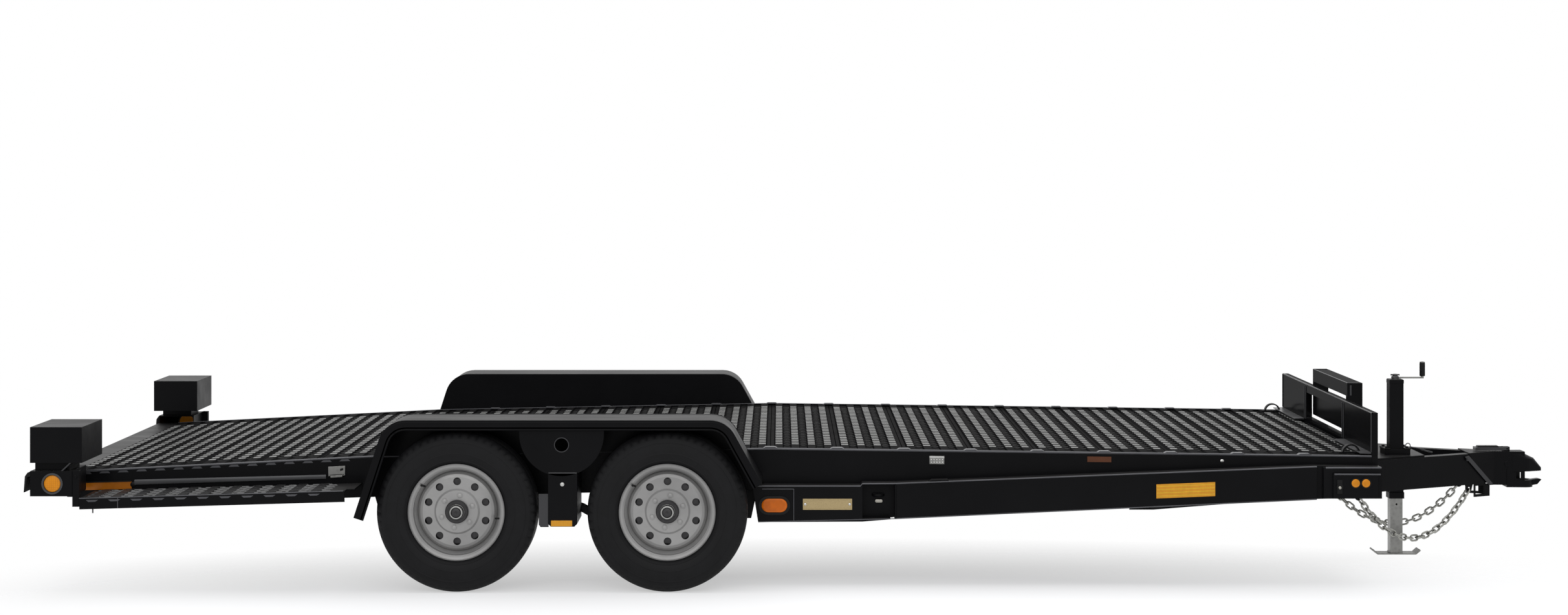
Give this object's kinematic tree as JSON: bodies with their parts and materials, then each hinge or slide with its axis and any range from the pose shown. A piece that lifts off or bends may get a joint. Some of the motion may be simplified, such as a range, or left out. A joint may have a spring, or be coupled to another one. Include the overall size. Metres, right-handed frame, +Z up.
{
  "type": "tandem axle car trailer",
  "caption": "Black steel tandem axle car trailer with an arched tread plank deck, fenders, headboard with winch stand, jack, safety chains and ball coupler.",
  "frame": {"origin": "on the ground, below the middle of the bounding box", "axes": "+X to the coupler, +Y to the trailer's left side, +Z up"},
  "size_m": [6.873, 2.58, 0.902],
  "materials": {
    "black_paint": "satin black paint",
    "deck_paint": "satin black paint worn grey on the tread ribs",
    "axle_paint": "dull black paint",
    "tyre": "matte",
    "wheel_silver": "silver paint",
    "hub_iron": "dark cast",
    "zinc": "zinc plated",
    "amber_lens": "clear amber lens",
    "red_lens": "clear red lens",
    "yellow_reflector": "reflector",
    "bare_metal": "satin",
    "rubber": "matte"
  },
  "bodies": {
    "chassis": {"deck_rails": "black_paint", "deck_planks_front": "deck_paint", "deck_planks_middle": "deck_paint", "deck_planks_tail": "deck_paint", "crossmembers": "black_paint", "side_ledges": "black_paint", "side_beams": "black_paint", "side_lamp_boxes": "black_paint", "front_crossmember": "black_paint", "headboard": "black_paint", "winch_stand": "black_paint", "tongue_beam_right": "black_paint", "tongue_beam_left": "black_paint", "tongue_plate": "black_paint", "jack_tube": "black_paint", "coupler_body": "black_paint", "chain_lugs": "black_paint", "safety_chains": "zinc", "fender_right": "black_paint", "fender_left": "black_paint", "fender_brackets": "black_paint", "axles": "axle_paint", "leaf_springs": "axle_paint", "spring_hangers": "axle_paint", "rear_bumper": "black_paint", "rear_housings": "black_paint", "rear_flaps": "rubber", "amber_lamps": "amber_lens", "tail_lamps": "red_lens", "reflectors": "yellow_reflector", "side_fittings": "bare_metal", "tie_down_loops": "black_paint"},
    "front_right_wheel": {"tyre_front_right": "tyre", "wheel_front_right": "wheel_silver", "hub_front_right": "hub_iron"},
    "front_left_wheel": {"tyre_front_left": "tyre", "wheel_front_left": "wheel_silver", "hub_front_left": "hub_iron"},
    "rear_right_wheel": {"tyre_rear_right": "tyre", "wheel_rear_right": "wheel_silver", "hub_rear_right": "hub_iron"},
    "rear_left_wheel": {"tyre_rear_left": "tyre", "wheel_rear_left": "wheel_silver", "hub_rear_left": "hub_iron"},
    "jack_inner": {"jack_leg": "zinc"},
    "crank": {"jack_crank": "zinc"},
    "latch": {"coupler_latch": "zinc"}
  },
  "joints": [
    {"name": "front_right_axle", "type": "hinge", "parent": "chassis", "child": "front_right_wheel", "pos_m": [-0.6785, -1.1775, 0.3445], "axis": [0, 1, 0], "continuous": true},
    {"name": "front_left_axle", "type": "hinge", "parent": "chassis", "child": "front_left_wheel", "pos_m": [-0.6785, 1.1775, 0.3445], "axis": [0, 1, 0], "continuous": true},
    {"name": "rear_right_axle", "type": "hinge", "parent": "chassis", "child": "rear_right_wheel", "pos_m": [-1.5845, -1.1775, 0.3445], "axis": [0, 1, 0], "continuous": true},
    {"name": "rear_left_axle", "type": "hinge", "parent": "chassis", "child": "rear_left_wheel", "pos_m": [-1.5845, 1.1775, 0.3445], "axis": [0, 1, 0], "continuous": true},
    {"name": "jack_slide", "type": "slide", "parent": "chassis", "child": "jack_inner", "axis": [0, 0, 1], "range_m": [-0.1, 0.24]},
    {"name": "crank_turn", "type": "hinge", "parent": "chassis", "child": "crank", "pos_m": [2.7035, -0.16, 0.83], "axis": [0, 0, 1], "continuous": true},
    {"name": "latch_lift", "type": "hinge", "parent": "chassis", "child": "latch", "pos_m": [3.2685, 0, 0.4773], "axis": [0, 1, 0], "range_deg": [0, 70]}
  ]
}
